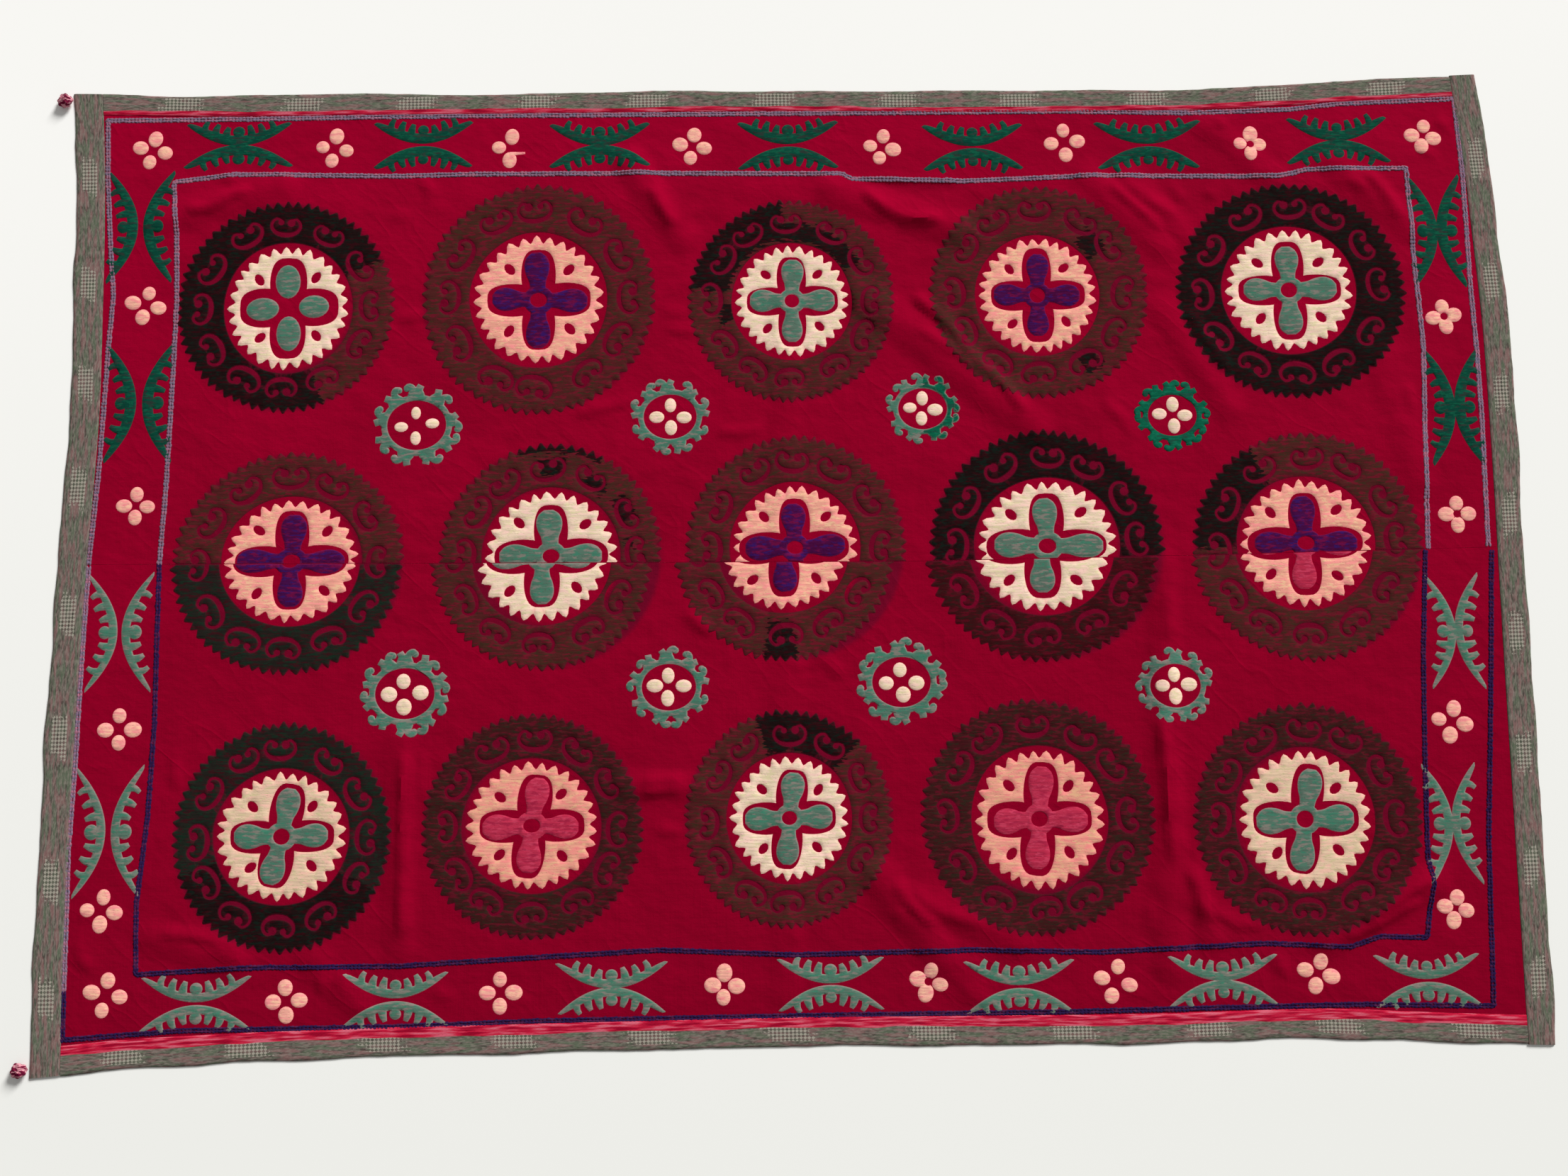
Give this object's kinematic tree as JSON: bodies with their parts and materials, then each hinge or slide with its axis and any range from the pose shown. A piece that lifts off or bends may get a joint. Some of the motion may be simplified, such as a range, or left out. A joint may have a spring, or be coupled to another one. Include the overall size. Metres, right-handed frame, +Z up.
{
  "type": "suzani embroidered textile",
  "caption": "Rectangular red cotton hanging of two seamed panels with dense embroidery, edged with woven tape, lying flat and face up.",
  "frame": {"origin": "middle of the cloth's outline, on the plane that it lies on", "axes": "+X along the long side, +Y up the cloth towards its top edge, +Z up from the surface"},
  "size_m": [2.3175, 1.5403, 0.0145],
  "materials": {
    "ground": "plain woven crimson cotton, matt, softly creased",
    "tape": "narrow woven tape in mottled grey and brown threads",
    "knot": "pink and maroon cloth, knotted",
    "dark_thread": "dense couched thread, near black to brown",
    "pale_thread": "dense couched thread, cream, salmon and pink",
    "green_thread": "dense couched thread, teal and dark green",
    "purple_thread": "couched thread, purple, mauve and navy"
  },
  "bodies": {
    "root": {"ground_upper": "ground", "ground_lower": "ground", "binding_left": "tape", "binding_right": "tape", "binding_top": "tape", "binding_bottom": "tape", "corner_knot_upper": "knot", "corner_knot_lower": "knot"}
  },
  "joints": []
}
